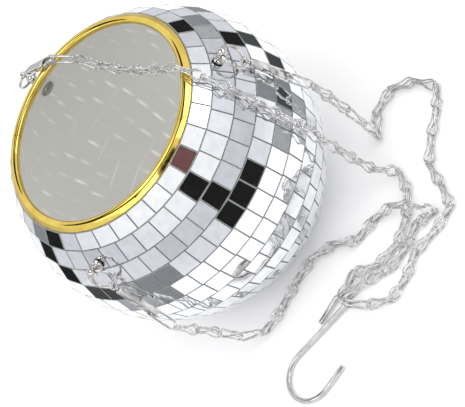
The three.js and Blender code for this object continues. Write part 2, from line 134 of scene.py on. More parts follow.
# The chains' centre lines, from below each first link to the small loop of the hook.
LYING = 0.00265
CHAIN_ROUTES = {
    "a": [
        (0.0643, -0.0529, 0.0585), (0.0637, -0.0530, 0.0404), (0.0628, -0.0531, 0.0246),
        (0.0618, -0.0534, 0.0116), (0.0609, -0.0513, 0.0034), (0.0640, -0.0455, LYING),
        (0.0684, -0.0425, LYING), (0.0747, -0.0400, LYING), (0.0821, -0.0411, LYING),
        (0.0885, -0.0455, LYING), (0.0927, -0.0531, LYING), (0.0942, -0.0620, LYING),
        (0.0947, -0.0698, LYING), (0.0899, -0.0724, LYING), (0.0825, -0.0759, LYING),
        (0.0759, -0.0788, LYING), (0.0684, -0.0827, LYING), (0.0608, -0.0881, LYING),
        (0.0569, -0.0956, LYING), (0.0543, -0.1036, LYING), (0.0511, -0.1111, LYING),
        (0.0459, -0.1144, LYING), (0.0396, -0.1136, LYING), (0.0336, -0.1124, LYING),
        (0.0279, -0.1121, LYING), (0.0229, -0.1093, LYING), (0.0183, -0.1071, LYING),
        (0.0138, -0.1093, LYING), (0.0087, -0.1124, LYING), (0.0039, -0.1144, LYING),
        (-0.0007, -0.1124, LYING), (-0.0051, -0.1080, LYING), (-0.0090, -0.1030, LYING),
        (-0.0116, -0.0973, LYING), (-0.0139, -0.0917, LYING),
    ],
    "b": [
        (0.0205, 0.0308, 0.1191), (0.0219, 0.0230, 0.1173), (0.0236, 0.0140, 0.1161),
        (0.0268, 0.0020, 0.1156), (0.0312, -0.0120, 0.1164), (0.0354, -0.0250, 0.1190),
        (0.0383, -0.0325, 0.1211), (0.0397, -0.0370, 0.1208), (0.0406, -0.0420, 0.1170),
        (0.0422, -0.0482, 0.1091), (0.0432, -0.0544, 0.0998), (0.0439, -0.0602, 0.0874),
        (0.0444, -0.0638, 0.0726), (0.0446, -0.0648, 0.0580), (0.0450, -0.0649, 0.0400),
        (0.0453, -0.0646, 0.0200), (0.0459, -0.0646, 0.0094), (0.0490, -0.0666, 0.0036),
        (0.0510, -0.0691, LYING), (0.0511, -0.0740, LYING), (0.0498, -0.0792, LYING),
        (0.0472, -0.0833, LYING), (0.0418, -0.0875, LYING), (0.0363, -0.0907, LYING),
        (0.0304, -0.0954, LYING), (0.0246, -0.0973, LYING), (0.0190, -0.0957, LYING),
        (0.0132, -0.0945, LYING), (0.0074, -0.0919, LYING), (0.0033, -0.0868, LYING),
        (-0.0007, -0.0820, LYING), (-0.0055, -0.0801, LYING), (-0.0096, -0.0803, LYING),
    ],
    "c": [
        (-0.0639, -0.0528, 0.0556), (-0.0610, -0.0528, 0.0451), (-0.0573, -0.0529, 0.0343),
        (-0.0552, -0.0530, 0.0221), (-0.0515, -0.0530, 0.0116), (-0.0473, -0.0530, 0.0055),
        (-0.0410, -0.0532, LYING), (-0.0303, -0.0531, LYING), (-0.0185, -0.0524, LYING),
        (-0.0084, -0.0524, LYING), (0.0005, -0.0569, LYING), (0.0073, -0.0623, LYING),
        (0.0115, -0.0698, LYING), (0.0152, -0.0753, LYING), (0.0213, -0.0769, LYING),
        (0.0277, -0.0753, LYING), (0.0332, -0.0798, 0.0038), (0.0368, -0.0875, 0.0072),
        (0.0394, -0.0953, 0.0078), (0.0421, -0.0996, 0.0056), (0.0446, -0.1036, 0.0028),
        (0.0414, -0.1065, LYING), (0.0372, -0.1024, LYING), (0.0341, -0.0989, LYING),
        (0.0312, -0.1033, LYING), (0.0265, -0.1043, LYING), (0.0211, -0.1021, LYING),
        (0.0150, -0.1027, LYING), (0.0086, -0.1002, LYING), (0.0030, -0.0954, LYING),
        (-0.0016, -0.0907, LYING), (-0.0065, -0.0872, LYING), (-0.0110, -0.0856, LYING),
    ],
}

# The camera looks down at the ball and is rolled, so the ball leans in the picture.
CAMERA_ELEVATION = math.radians(42.7)
CAMERA_ROLL = math.radians(59.6)
CAMERA_DISTANCE = 1.5
VIEW_WIDTH = 0.22
AIM_ACROSS = 0.0301
AIM_DOWN = 0.0193


def make_camera():
    back = Vector((0, -math.cos(CAMERA_ELEVATION), math.sin(CAMERA_ELEVATION)))
    level = Vector((1, 0, 0))
    rise = back.cross(level)
    across = level * math.cos(CAMERA_ROLL) - rise * math.sin(CAMERA_ROLL)
    up = level * math.sin(CAMERA_ROLL) + rise * math.cos(CAMERA_ROLL)
    place = CENTRE + back * CAMERA_DISTANCE
    target = CENTRE + across * AIM_ACROSS - up * AIM_DOWN
    back = (place - target).normalized()
    across = up.cross(back).normalized()
    up = back.cross(across)
    data = bpy.data.cameras.new("camera")
    data.lens = data.sensor_width * CAMERA_DISTANCE / VIEW_WIDTH
    data.clip_end = 20
    camera = bpy.data.objects.new("camera", data)
    camera.matrix_world = Matrix.Translation(place) @ axes(across, up, back)
    bpy.context.scene.collection.objects.link(camera)
    bpy.context.scene.camera = camera


# Geometry helpers.

def axes(x, y, z, origin=Vector()):
    turn = Matrix((x, y, z)).transposed().to_4x4()
    return Matrix.Translation(origin) @ turn


def piece(name, mesh, body, slot, material, *nodes, smooth=True):
    item = bpy.data.objects.new(name, mesh)
    bpy.context.scene.collection.objects.link(item)
    if material is not None:
        mesh.materials.append(material)
    if smooth:
        mesh.shade_smooth()
    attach(item, body)
    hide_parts(*nodes)
    return item


def mesh_from(bm, name):
    bmesh.ops.recalc_face_normals(bm, faces=bm.faces)
    mesh = bpy.data.meshes.new(name)
    bm.to_mesh(mesh)
    bm.free()
    return mesh


def lathe(bm, profile, segments, place=Matrix(), closed=False, sweep=2 * math.pi, start=0.0):
    """Turns (radius, height) points about Z. A point on the axis becomes a single vertex."""
    full = sweep > 2 * math.pi - 1e-9
    steps = segments if full else segments + 1
    rings = []
    for radius, height in profile:
        if radius < 1e-7:
            rings.append([bm.verts.new(place @ Vector((0, 0, height)))])
            continue
        ring = []
        for i in range(steps):
            angle = start + sweep * i / segments
            point = Vector((radius * math.cos(angle), radius * math.sin(angle), height))
            ring.append(bm.verts.new(place @ point))
        rings.append(ring)
    pairs = list(zip(rings, rings[1:]))
    if closed:
        pairs.append((rings[-1], rings[0]))
    for lower, upper in pairs:
        for i in range(segments):
            j = (i + 1) % steps
            corners = [lower[i % len(lower)], lower[j % len(lower)]]
            corners += [upper[j % len(upper)], upper[i % len(upper)]]
            unique = list(dict.fromkeys(corners))
            if len(unique) > 2:
                bm.faces.new(unique)
    if not full and closed:
        bm.faces.new([ring[0] for ring in rings])
        bm.faces.new([ring[-1] for ring in rings])


def arc(centre, radius, start, end, count):
    angles = [start + (end - start) * i / count for i in range(count + 1)]
    return [(centre[0] + radius * math.cos(a), centre[1] + radius * math.sin(a)) for a in angles]


def sphere_arc(radius, start, end, count):
    angles = [start + (end - start) * i / count for i in range(count + 1)]
    return [(radius * math.sin(a), CENTRE_HEIGHT + radius * math.cos(a)) for a in angles]


def wire(bm, points, radius, sides=10, closed=False):
    """A round wire along points. An open wire has domed ends."""
    count = len(points)
    tangents = []
    for i in range(count):
        before = points[(i - 1) % count] if closed or i > 0 else points[i]
        after = points[(i + 1) % count] if closed or i < count - 1 else points[i]
        tangents.append((after - before).normalized())
    normal = tangents[0].orthogonal().normalized()
    normals = [normal]
    for i in range(1, count):
        turn = tangents[i - 1].rotation_difference(tangents[i])
        normal = turn @ normal
        normals.append(normal)
    twist = 0.0
    if closed:
        last = tangents[-1].rotation_difference(tangents[0]) @ normal
        side = tangents[0].cross(normals[0])
        twist = -math.atan2(last.dot(side), last.dot(normals[0]))
    stations = [(points[i], tangents[i], normals[i], twist * i / count, radius) for i in range(count)]
    if not closed:
        stations = dome(stations[0], -1)[::-1] + stations + dome(stations[-1], 1)
    rings = []
    for point, tangent, normal, extra, size in stations:
        side = tangent.cross(normal)
        ring = []
        for k in range(sides):
            angle = 2 * math.pi * k / sides + extra
            out = normal * math.cos(angle) + side * math.sin(angle)
            ring.append(bm.verts.new(point + out * size))
        rings.append(ring)
    pairs = list(zip(rings, rings[1:]))
    if closed:
        pairs.append((rings[-1], rings[0]))
    for one, other in pairs:
        for k in range(sides):
            after = (k + 1) % sides
            bm.faces.new([one[k], one[after], other[after], other[k]])
    if not closed:
        bm.faces.new(rings[0])
        bm.faces.new(rings[-1])


def dome(station, way):
    point, tangent, normal, extra, radius = station
    result = []
    for angle in (math.radians(35), math.radians(62), math.radians(82)):
        ahead = point + tangent * (way * radius * math.sin(angle) * 0.6)
        result.append((ahead, tangent, normal, extra, radius * math.cos(angle)))
    return result


def smooth_route(points, per_span=12):
    """A Catmull-Rom curve through points."""
    ends = [points[0] * 2 - points[1]] + points + [points[-1] * 2 - points[-2]]
    route = []
    for a, b, c, d in zip(ends, ends[1:], ends[2:], ends[3:]):
        for i in range(per_span):
            t = i / per_span
            route.append(0.5 * (2 * b + (c - a) * t + (2 * a - 5 * b + 4 * c - d) * t * t
                                + (3 * b - a - 3 * c + d) * t ** 3))
    return route + [points[-1]]


def route_lengths(route):
    lengths = [0.0]
    for one, other in zip(route, route[1:]):
        lengths.append(lengths[-1] + (other - one).length)
    return lengths


def along(route, lengths, distance):
    for i in range(1, len(route)):
        if lengths[i] >= distance:
            share = (distance - lengths[i - 1]) / (lengths[i] - lengths[i - 1])
            return route[i - 1].lerp(route[i], share)
    return route[-1]


# Chains.

def hook_matrix():
    turn = Matrix.Rotation(HOOK_HEADING, 4, "Z") @ Matrix.Rotation(HOOK_TILT, 4, "Y")
    return Matrix.Translation(HOOK_PLACE) @ turn


def hook_loop_point(toward):
    """The point of the small loop's wire that faces a chain's end, moved in past the wire."""
    centre = hook_matrix() @ Vector((0, SMALL_LOOP_RADIUS, 0))
    out = Vector((toward.x - centre.x, toward.y - centre.y, 0)).normalized()
    return centre + out * (SMALL_LOOP_RADIUS - HOOK_WIRE - CHAIN_WIRE)


def link_loop(pitch):
    """One link's wire in its own frame: X along the chain, Y its width, Z its height."""
    fold = FOLD_HALF_HEIGHT * math.pi / 2
    reach = pitch - FOLD_GRIP
    centre = fold + reach - LOOP_HALF_WIDTH
    half = [
        (0, WAIST_HALF_WIDTH), (fold * 0.5, WAIST_HALF_WIDTH), (fold, WAIST_HALF_WIDTH),
        (fold + 0.0025, WAIST_HALF_WIDTH), (fold + 0.0048, WAIST_HALF_WIDTH * 1.1),
        (fold + 0.0066, WAIST_HALF_WIDTH + 0.00045), (centre - 0.0018, LOOP_HALF_WIDTH - 0.0004),
        (centre - 0.0005, LOOP_HALF_WIDTH - 0.00003),
    ] + arc((centre, 0), LOOP_HALF_WIDTH, math.radians(80), 0, 5)
    edge = half + [(u, -v) for u, v in reversed(half[:-1])]
    outline = edge + [(-u, v) for u, v in reversed(edge[1:-1])]
    points = []
    for u, v in outline:
        side = 1 if u >= 0 else -1
        if abs(u) < fold:
            angle = abs(u) / FOLD_HALF_HEIGHT
            points.append(Vector((-FOLD_HALF_HEIGHT * math.cos(angle), v,
                                  side * FOLD_HALF_HEIGHT * math.sin(angle))))
            continue
        share = (abs(u) - fold) / reach
        height = FOLD_HALF_HEIGHT + (END_HALF_HEIGHT - FOLD_HALF_HEIGHT) * share
        points.append(Vector((abs(u) - fold, v, side * height)))
    return points


def outwards(point):
    return (point - CENTRE).normalized()


def link_heights(id, frames):
    """Each link's height axis: across the clasp at the top, then away from the ball or the floor.

    The last link's is level, where it hangs on the hook.
    """
    across = Vector(JOINTS[f"clasp_tilt_{id}"]["axis"])
    up = Vector((0, 0, 1))
    heights = []
    for i, (start, way) in enumerate(frames):
        want = up if abs(way.z) < 0.6 else outwards(start)
        if i < SETTLING_LINKS:
            want = (across if across.dot(want) > 0 else -across).lerp(want, i / SETTLING_LINKS)
        if i == len(frames) - 1:
            want = way.cross(up)
        heights.append((want - way * want.dot(way)).normalized())
    return heights


def make_chain(id, material):
    points = [Vector(point) for point in CHAIN_ROUTES[id]]
    target = hook_loop_point(points[-1])
    route = smooth_route(points + [target])
    lengths = route_lengths(route)
    count = round(lengths[-1] / CHAIN_PITCH)
    pitch = lengths[-1] / count
    stops = [along(route, lengths, pitch * i) for i in range(count + 1)]
    frames = [(a, (b - a).normalized()) for a, b in zip(stops, stops[1:])]
    bm = bmesh.new()
    for (start, way), stop, height in zip(frames, stops[1:], link_heights(id, frames)):
        loop = link_loop((stop - start).length + (FOLD_GRIP if stop is stops[-1] else 0))
        place = axes(way, height.cross(way), height, start)
        wire(bm, [place @ point for point in loop], CHAIN_WIRE, 8, closed=True)
    item = bpy.data.objects.new(f"chain_{id}_links", mesh_from(bm, f"chain_{id}_links"))
    bpy.context.scene.collection.objects.link(item)
    item.data.materials.append(material)
    item.data.shade_smooth()
    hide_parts(f"chain_{id}")
    return item, stops


def hang_chain(id, material):
    """Makes a chain's links where they lie; the path along its stops is worked out, but nothing uses it.
    """
    item, stops = make_chain(id, material)
    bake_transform(item)
    path = [one.lerp(other, i / 4) for one, other in zip(stops, stops[1:]) for i in range(4)]
    path.append(stops[-1])


# The hook, rings, studs and clasps.

def stepped(point, distance, angle):
    return point[0] + distance * math.cos(angle), point[1] + distance * math.sin(angle)


def hook_outline():
    small_start = SMALL_TURN - math.pi / 2
    small = arc((0, SMALL_LOOP_RADIUS), SMALL_LOOP_RADIUS, small_start, -math.pi / 2, 24)
    large = arc((-SHANK_LENGTH, -LARGE_LOOP_RADIUS), LARGE_LOOP_RADIUS, math.pi / 2,
                math.pi / 2 + LARGE_TURN, 40)
    small_way = small_start + math.pi / 2
    large_way = math.pi + LARGE_TURN
    tip = stepped(small[0], SMALL_TAIL, small_way)
    end = stepped(large[-1], LARGE_TAIL, large_way)
    return [tip] + small + large + [end]


def make_hook(material):
    place = hook_matrix()
    bm = bmesh.new()
    wire(bm, [place @ Vector((x, y, 0)) for x, y in hook_outline()], HOOK_WIRE, 20)
    return piece("s_hook_wire", mesh_from(bm, "s_hook_wire"), "hook", "nickel", material, "s_hook")


def hanger_frame(id):
    """The stud's frame, the ring's frame and the clasp's frame, from the joints."""
    head = Vector(JOINTS[f"ring_swing_{id}"]["pos_m"])
    hole = Vector(JOINTS[f"ring_swing_{id}"]["axis"])
    far = Vector(JOINTS[f"clasp_tilt_{id}"]["pos_m"])
    across = Vector(JOINTS[f"clasp_tilt_{id}"]["axis"])
    lengthwise = Vector(JOINTS[f"clasp_swivel_{id}"]["axis"])
    out = (head - CENTRE).normalized()
    ring_up = (head - far).normalized()
    stud = axes(hole, out.cross(hole), out, CENTRE)
    ring = axes(hole, ring_up.cross(hole), ring_up, head)
    clasp = axes(across, lengthwise.cross(across), lengthwise, far)
    return stud, ring, clasp


def make_stud(id, place, material):
    flat = math.asin(NECK_RADIUS / HEAD_RADIUS) - math.pi / 2
    profile = [
        (0, COLLAR_BOTTOM), (COLLAR_RADIUS - 0.0002, COLLAR_BOTTOM),
        (COLLAR_RADIUS, COLLAR_BOTTOM + 0.0002), (COLLAR_RADIUS, COLLAR_TOP - 0.0007),
        (COLLAR_RADIUS - 0.0003, COLLAR_TOP - 0.0003), (COLLAR_RADIUS - 0.0009, COLLAR_TOP),
        (NECK_RADIUS + 0.0002, COLLAR_TOP), (NECK_RADIUS, COLLAR_TOP + 0.0002),
    ] + arc((0, HEAD_CENTRE), HEAD_RADIUS, flat, math.pi / 2, 20)
    profile[-1] = (0, HEAD_CENTRE + HEAD_RADIUS)
    bm = bmesh.new()
    lathe(bm, profile, 48)
    mesh = mesh_from(bm, f"stud_{id}")
    item = bpy.data.objects.new(f"stud_{id}", mesh)
    bpy.context.scene.collection.objects.link(item)
    drill = bmesh.new()
    turn = Matrix.Translation((0, 0, HEAD_CENTRE)) @ Matrix.Rotation(math.pi / 2, 4, "Y")
    bore = [(0, -0.005), (CROSS_HOLE_RADIUS + 0.0012, -0.005), (CROSS_HOLE_RADIUS, -0.0025),
            (CROSS_HOLE_RADIUS, 0.0025), (CROSS_HOLE_RADIUS + 0.0012, 0.005), (0, 0.005)]
    lathe(drill, bore, 32, turn)
    cutter = bpy.data.objects.new("cutter", mesh_from(drill, "cutter"))
    bpy.context.scene.collection.objects.link(cutter)
    cut = item.modifiers.new("cross_hole", "BOOLEAN")
    cut.operation = "DIFFERENCE"
    cut.object = cutter
    bpy.context.view_layer.update()
    drilled = bpy.data.meshes.new_from_object(item.evaluated_get(bpy.context.evaluated_depsgraph_get()))
    bpy.data.objects.remove(cutter)
    bpy.data.objects.remove(item)
    drilled.transform(place)
    drilled.materials.clear()
    drilled.shade_smooth()
    drilled.set_sharp_from_angle(angle=math.radians(35))
    piece(f"stud_{id}", drilled, "ball", "nickel", material, f"ball_stud_{id}", smooth=False)


def make_screw(id, place, material):
    top = SCREW_HEAD_TOP
    bottom = SCREW_HEAD_BOTTOM
    profile = [
        (0, bottom + 0.00035), (0.0009, bottom + 0.00035), (0.0011, bottom),
        (SCREW_HEAD_RADIUS - 0.0012, bottom + 0.00012), (SCREW_HEAD_RADIUS - 0.0004, bottom + 0.0005),
        (SCREW_HEAD_RADIUS, bottom + 0.001), (SCREW_HEAD_RADIUS, top), (0.0013, top),
        (0.0013, SCREW_END), (0, SCREW_END),
    ]
    bm = bmesh.new()
    lathe(bm, profile, 48, place)
    item = piece(f"screw_{id}", mesh_from(bm, f"screw_{id}"), "ball", "nickel", material,
                 f"inner_screw_{id}")
    item.data.set_sharp_from_angle(angle=math.radians(40))


def make_ring(id, place, material):
    count = 72
    points = []
    for i in range(count):
        angle = 2 * math.pi * i / count
        points.append(place @ Vector((RING_RADIUS * math.cos(angle), 0,
                                      RING_RADIUS * math.sin(angle) - RING_CENTRE)))
    bm = bmesh.new()
    wire(bm, points, RING_WIRE, 14, closed=True)
    piece(f"ring_wire_{id}", mesh_from(bm, f"ring_wire_{id}"), f"ring_{id}", "nickel", material,
          f"hanger_ring_{id}")


def make_eye(id, place, material):
    """A cast eye round the ring, with its swivel pin and the pin's head."""
    bm = bmesh.new()
    quarter_turn = place @ Matrix.Rotation(math.pi / 2, 4, "Y")
    rim = [(EYE_RADIUS + EYE_WIRE * math.cos(a), 0.0007 * math.sin(a))
           for a in [2 * math.pi * i / 16 for i in range(16)]]
    lathe(bm, rim, 40, quarter_turn, closed=True)
    shank = [(0, -0.0018), (0.00085, -0.0018), (0.0007, -0.0026), (EYE_SHANK_RADIUS, -0.0031),
             (EYE_SHANK_RADIUS, EYE_SHANK_END), (0.0011, EYE_SHANK_END),
             (0.0011, EYE_SHANK_END - 0.0004), (0, EYE_SHANK_END - 0.0005)]
    lathe(bm, shank, 24, place)
    item = piece(f"eye_{id}_cast", mesh_from(bm, f"eye_{id}_cast"), f"eye_{id}", "clasp", material,
                 f"swivel_eye_{id}")
    item.data.set_sharp_from_angle(angle=math.radians(40))


def refined(node, name, body, slot, material, bevel):
    """A CAD node's shape with its flat faces merged and its edges rounded."""
    mesh = frame["nodes"][node].data.copy()
    mesh.materials.clear()
    bm = bmesh.new()
    bm.from_mesh(mesh)
    bmesh.ops.remove_doubles(bm, verts=bm.verts, dist=1e-6)
    bmesh.ops.dissolve_limit(bm, angle_limit=math.radians(2), verts=bm.verts, edges=bm.edges)
    edges = [e for e in bm.edges if len(e.link_faces) == 2 and e.calc_face_angle() > math.radians(30)]
    bmesh.ops.bevel(bm, geom=edges, offset=bevel, segments=2, profile=0.6, affect="EDGES",
                    clamp_overlap=True)
    bmesh.ops.triangulate(bm, faces=[f for f in bm.faces if len(f.verts) > 4])
    mesh = mesh_from(bm, name)
    item = piece(name, mesh, body, slot, material, node)
    mesh.set_sharp_from_angle(angle=math.radians(50))
    return item


def make_first_link(id, place, material):
    loop = arc((0, 0), LINK_HALF_WIDTH, 0, math.pi, 16)
    loop += arc((0, -LINK_STRAIGHT), LINK_HALF_WIDTH, math.pi, 2 * math.pi, 16)
    turn = place @ Matrix.Translation((0, 0, LINK_CENTRE)) @ Matrix.Rotation(LINK_DROOP[id], 4, "X")
    bm = bmesh.new()
    wire(bm, [turn @ Vector((0, y, z)) for y, z in loop], LINK_WIRE, 12, closed=True)
    piece(f"link_wire_{id}", mesh_from(bm, f"link_wire_{id}"), f"link_{id}", "chain", material,
          f"first_link_{id}")


def make_hanger(id, looks):
    stud, ring, clasp = hanger_frame(id)
    make_stud(id, stud, looks["nickel"])
    make_screw(id, stud, looks["screw"])
    make_ring(id, ring, looks["nickel"])
    make_eye(id, clasp, looks["clasp"])
    refined(f"clasp_body_{id}", f"clasp_{id}_cast", f"clasp_{id}", "clasp", looks["clasp"], 0.00022)
    refined(f"clasp_gate_{id}", f"gate_{id}_stamped", f"gate_{id}", "clasp", looks["clasp"], 0.00012)
    refined(f"gate_pin_{id}", f"gate_pin_{id}_turned", f"clasp_{id}", "clasp", looks["clasp"], 0.00008)
    make_first_link(id, clasp, looks["chain"])


# The ball.

def make_shell(material):
    outer_end = math.pi - math.acos(CENTRE_HEIGHT / SHELL_OUTER)
    inner_end = math.pi - math.acos((CENTRE_HEIGHT - BASE_THICKNESS) / SHELL_INNER)
    profile = [(0, 0)]
    profile += sphere_arc(SHELL_OUTER, outer_end, SHELL_EDGE_POLAR, 48)
    profile += sphere_arc(SHELL_INNER, SHELL_EDGE_POLAR, inner_end - 0.05, 48)
    rim = profile[-1]
    floor = BASE_THICKNESS
    profile += [((rim[0] + 0.034) / 2, floor + (rim[1] - floor) * 0.3), (0.034, floor), (0, floor)]
    bm = bmesh.new()
    lathe(bm, profile, 144)
    mesh = mesh_from(bm, "bowl_moulding")
    item = piece("bowl_moulding", mesh, "ball", "shell", material, "inner_bowl")
    item.data.set_sharp_from_angle(angle=math.radians(40))


def tile_corners(polar, azimuth, half_step, chance):
    """A tile's four outer corners, tipped a little, as one glued by hand."""
    corners = []
    for edge in (polar[0], polar[1]):
        radius = BALL_RADIUS * math.sin(edge)
        for side in (-1, 1):
            half_width = radius * math.sin(half_step) - TILE_GAP / 2
            apothem = radius * math.cos(half_step)
            angle = azimuth + side * math.atan2(half_width, apothem)
            reach = math.hypot(half_width, apothem)
            corners.append(Vector((reach * math.cos(angle), reach * math.sin(angle),
                                   CENTRE_HEIGHT + BALL_RADIUS * math.cos(edge))))
    middle = sum(corners, Vector()) / 4
    out = (middle - CENTRE).normalized()
    level = Vector((-math.sin(azimuth), math.cos(azimuth), 0))
    slope = out.cross(level)
    tip = Matrix.Rotation(chance.gauss(0, TILE_TILT), 3, level)
    tip = tip @ Matrix.Rotation(chance.gauss(0, TILE_TILT), 3, slope)
    sink = out * -0.00008
    return [middle + tip @ (corner - middle) + sink for corner in corners], out


def add_tile(bm, corners, out, depth):
    """A thin plate with ground edges. Its sides take the second material."""
    a, b, d, c = corners
    ring = [a, b, c, d]
    middle = sum(ring, Vector()) / 4
    front = [bm.verts.new(p + (middle - p).normalized() * TILE_CHAMFER * 1.4) for p in ring]
    edge = [bm.verts.new(p - out * TILE_CHAMFER) for p in ring]
    back = [bm.verts.new(p - out * depth) for p in ring]
    bm.faces.new(front)
    for i in range(4):
        j = (i + 1) % 4
        bm.faces.new([edge[i], edge[j], front[j], front[i]]).material_index = 1
        bm.faces.new([back[i], back[j], edge[j], edge[i]]).material_index = 1
    bm.faces.new(back[::-1]).material_index = 1


def row_layout(row):
    """A row's tile count, the angle from one tile to the next, and the azimuth where tile 0 starts."""
    count = round(TILES_ROUND_EQUATOR * math.sin(FIRST_ROW_POLAR + (row + 0.5) * ROW_PITCH))
    step = 2 * math.pi / count
    return count, step, ROW_PHASES[row] * step - math.pi / 2


def make_tile_row(row, mirror, ground_edge):
    chance = random.Random(100 + row)
    half_gap = TILE_GAP / 2 / BALL_RADIUS
    top = BEAD_EDGE_POLAR if row == 0 else FIRST_ROW_POLAR + row * ROW_PITCH + half_gap
    polar = (top, FIRST_ROW_POLAR + (row + 1) * ROW_PITCH - half_gap)
    count, step, start = row_layout(row)
    bm = bmesh.new()
    for i in range(count):
        corners, out = tile_corners(polar, start + (i + 0.5) * step, step / 2, chance)
        add_tile(bm, corners, out, BALL_RADIUS - TILE_INNER_RADIUS)
    name = f"tiles_{row + 1:02d}"
    item = piece(name, mesh_from(bm, name), "ball", "mirror", mirror, f"mirror_row_{row + 1:02d}",
                 smooth=False)
    item.data.materials.append(ground_edge)


def make_bead(material):
    middle = (BEAD_OUTER_V + BEAD_INNER_V) / 2
    half = (BEAD_OUTER_V - BEAD_INNER_V) / 2
    crown = [(BEAD_CROWN_U + BEAD_CROWN_RISE * y, middle + half * x)
             for x, y in arc((0, 0), 1, 0, math.pi, 28)]
    outline = [(BEAD_LEG_U, BEAD_OUTER_V - 0.0004), (BEAD_LEG_U + 0.0004, BEAD_OUTER_V)]
    outline += crown + [(BEAD_LEG_U + 0.0004, BEAD_INNER_V), (BEAD_LEG_U, BEAD_INNER_V + 0.0003)]
    outline += [(BEAD_LEG_U, -0.0012), (0.0006, -0.0012), (0.0006, 0.0012), (BEAD_LEG_U, 0.0012)]
    profile = []
    for u, v in outline:
        reach = BEAD_RADIUS + v
        profile.append((reach * math.sin(BEAD_POLAR) - u * math.cos(BEAD_POLAR),
                        CENTRE_HEIGHT + reach * math.cos(BEAD_POLAR) + u * math.sin(BEAD_POLAR)))
    gap = BEAD_JOINT_GAP / BEAD_JOINT_RADIUS
    bm = bmesh.new()
    lathe(bm, profile, 216, closed=True, sweep=2 * math.pi - gap, start=BEAD_JOINT_AZIMUTH)
    item = piece("bead_strip", mesh_from(bm, "bead_strip"), "ball", "gold", material, "rim_bead")
    item.data.set_sharp_from_angle(angle=math.radians(40))


# Materials.

def material(name, **settings):
    made = bpy.data.materials.new(name)
    made.use_nodes = True
    shader = made.node_tree.nodes["Principled BSDF"]
    for key, value in settings.items():
        socket = shader.inputs[key.replace("_", " ").title().replace("Ior", "IOR")]
        socket.default_value = (*value, 1) if isinstance(value, tuple) else value
    return made, made.node_tree, shader


def node(tree, kind, inputs=(), **settings):
    made = tree.nodes.new(kind)
    for key, value in settings.items():
        setattr(made, key, value)
    for index, value in dict(inputs).items():
        if isinstance(value, bpy.types.NodeSocket):
            tree.links.new(value, made.inputs[index])
        else:
            made.inputs[index].default_value = value
    return made


def maths(tree, operation, a, b=0.0, c=0.0):
    return node(tree, "ShaderNodeMath", {0: a, 1: b, 2: c}, operation=operation).outputs[0]


def noise(tree, scale, detail=2.0):
    place = node(tree, "ShaderNodeTexCoord").outputs["Object"]
    inputs = {"Vector": place, "Scale": scale, "Detail": detail}
    return node(tree, "ShaderNodeTexNoise", inputs).outputs[0]


def spread(tree, value, low, high, start=0.35, end=0.65):
    inputs = {"Value": value, "From Min": start, "From Max": end, "To Min": low, "To Max": high}
    return node(tree, "ShaderNodeMapRange", inputs).outputs[0]


def add_bump(tree, shader, height, distance, strength):
    bump = node(tree, "ShaderNodeBump", {"Height": height, "Distance": distance, "Strength": strength})
    tree.links.new(bump.outputs[0], shader.inputs["Normal"])


def tint(tree, shader, value, dark, light):
    mix = node(tree, "ShaderNodeMix", {"Factor": value}, data_type="RGBA")
    mix.inputs["A"].default_value = (*dark, 1)
    mix.inputs["B"].default_value = (*light, 1)
    tree.links.new(mix.outputs["Result"], shader.inputs["Base Color"])


def mirror_look():
    made, tree, shader = material("mirror_glass", metallic=1.0, roughness=0.02)
    tint(tree, shader, spread(tree, noise(tree, 240, 4), 0, 1), (0.84, 0.85, 0.88), (0.93, 0.94, 0.96))
    tree.links.new(spread(tree, noise(tree, 90, 5), 0.012, 0.05), shader.inputs["Roughness"])
    add_bump(tree, shader, noise(tree, 420, 2), 0.00002, 0.1)
    return made


def ground_edge_look():
    made, tree, shader = material("ground_glass_edge", roughness=0.45, metallic=0.0)
    tint(tree, shader, noise(tree, 1500, 2), (0.16, 0.18, 0.18), (0.48, 0.52, 0.52))
    return made


def gold_look():
    made, tree, shader = material("gold_metallised", metallic=1.0, roughness=0.08)
    tint(tree, shader, spread(tree, noise(tree, 60, 3), 0, 1), (0.70, 0.50, 0.09), (0.86, 0.66, 0.17))
    tree.links.new(spread(tree, noise(tree, 300, 4), 0.06, 0.13), shader.inputs["Roughness"])
    add_bump(tree, shader, noise(tree, 500, 3), 0.00003, 0.12)
    return made


def plated_look(name, dark, light, smooth, rough, grain):
    made, tree, shader = material(name, metallic=1.0, roughness=smooth)
    tint(tree, shader, spread(tree, noise(tree, grain, 3), 0, 1), dark, light)
    tree.links.new(spread(tree, noise(tree, grain * 2.3, 4), smooth, rough), shader.inputs["Roughness"])
    add_bump(tree, shader, noise(tree, grain * 4, 3), 0.00002, 0.2)
    return made


# How far the bowl's light streaks are shifted from one row to the next, in tiles.
ROW_STAGGER = 0.37


